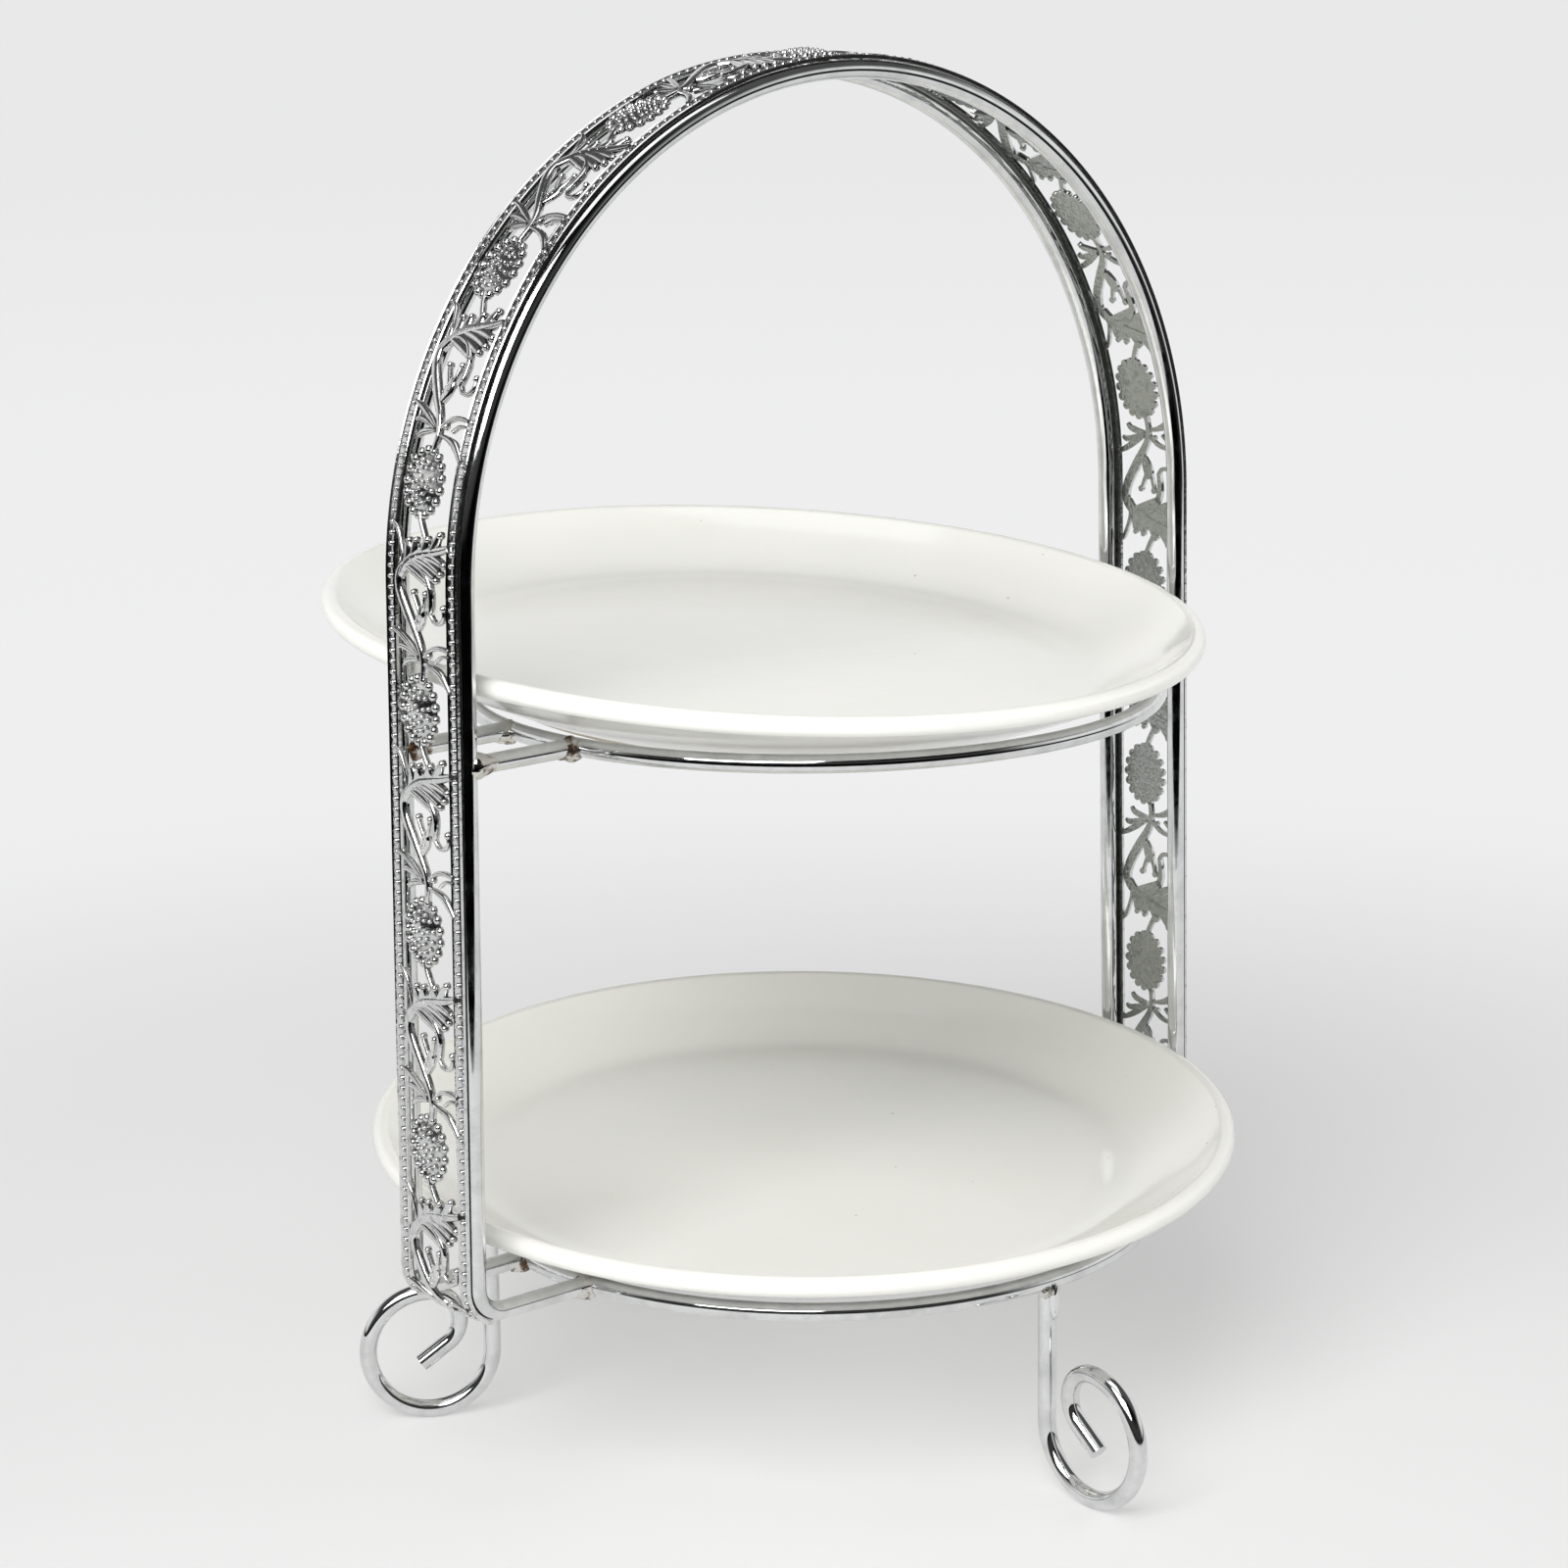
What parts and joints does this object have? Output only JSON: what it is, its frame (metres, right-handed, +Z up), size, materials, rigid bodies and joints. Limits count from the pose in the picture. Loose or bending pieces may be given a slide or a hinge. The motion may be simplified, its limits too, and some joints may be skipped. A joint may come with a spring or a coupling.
{
  "type": "tiered cake stand",
  "caption": "Tiered cake stand: chromed wire arch frame with a pierced strip and scroll feet, carrying lift-off dished plates.",
  "frame": {"origin": "on the floor, under the middle of the stand's box", "axes": "+Z up; +X across the arch, from its left leg to its right leg; +Y to the rear, away from the front foot"},
  "size_m": [0.2738, 0.2756, 0.3837],
  "materials": {
    "chrome_wire": "bright chrome plate on drawn steel wire",
    "pierced_strip": "bright chrome plate on pressed and pierced steel strip",
    "white_glaze": "glossy off-white glaze"
  },
  "bodies": {
    "frame": {"arch_wire_front": "chrome_wire", "arch_wire_rear": "chrome_wire", "filigree_strip": "pierced_strip", "upper_ring": "chrome_wire", "lower_ring": "chrome_wire", "strut_front_left": "chrome_wire", "strut_rear_left": "chrome_wire", "strut_front_right": "chrome_wire", "strut_rear_right": "chrome_wire", "foot_front": "chrome_wire", "foot_left": "chrome_wire", "foot_right": "chrome_wire"},
    "upper_plate": {"upper_plate": "white_glaze"},
    "lower_plate": {"lower_plate": "white_glaze"}
  },
  "joints": [
    {"name": "upper_plate_slide", "type": "slide", "parent": "frame", "child": "upper_plate", "axis": [0, -0.866, 0.5], "range_m": [0, 0.19]},
    {"name": "lower_plate_slide", "type": "slide", "parent": "frame", "child": "lower_plate", "axis": [0, -0.866, 0.5], "range_m": [0, 0.19]}
  ]
}
